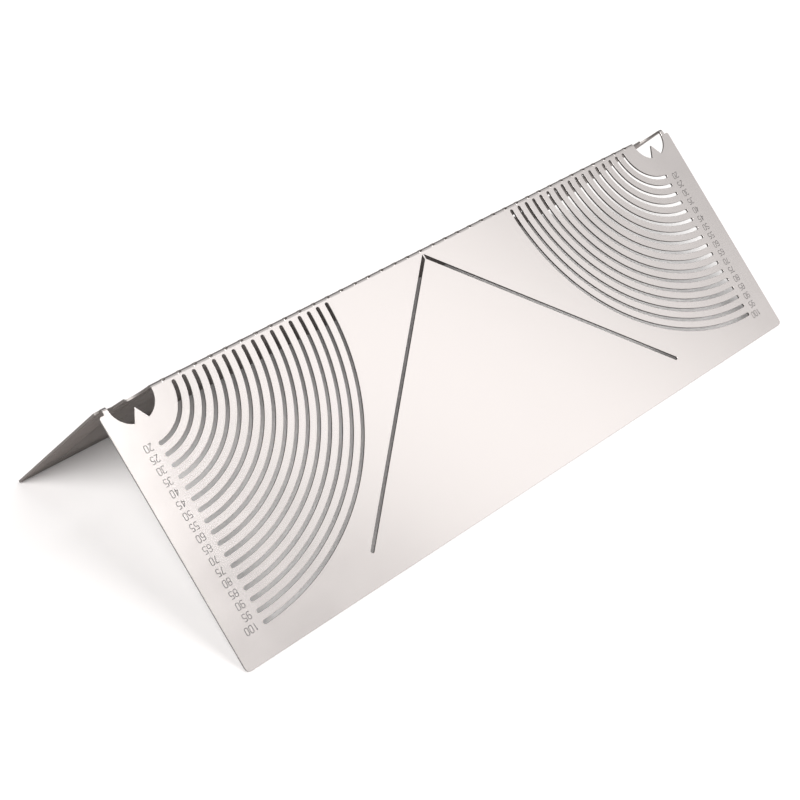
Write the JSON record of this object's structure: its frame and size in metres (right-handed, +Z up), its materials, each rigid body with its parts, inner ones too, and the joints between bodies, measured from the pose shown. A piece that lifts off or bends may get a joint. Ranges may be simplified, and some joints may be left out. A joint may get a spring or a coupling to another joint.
{
  "type": "pipe arc marking tool",
  "caption": "Folded stainless steel sheet with quarter-circle and mitre slots for a scriber, laid over a pipe or bar to mark arcs, centre lines and mitre cuts.",
  "frame": {"origin": "midway between the two free edges, on the surface that the tool stands on", "axes": "+X along the fold, +Z up through the fold, the front leaf towards -Y"},
  "size_m": [0.344, 0.1648, 0.081],
  "materials": {
    "stainless_sheet": "fine satin"
  },
  "bodies": {
    "root": {"folded_sheet": "stainless_sheet"}
  },
  "joints": []
}
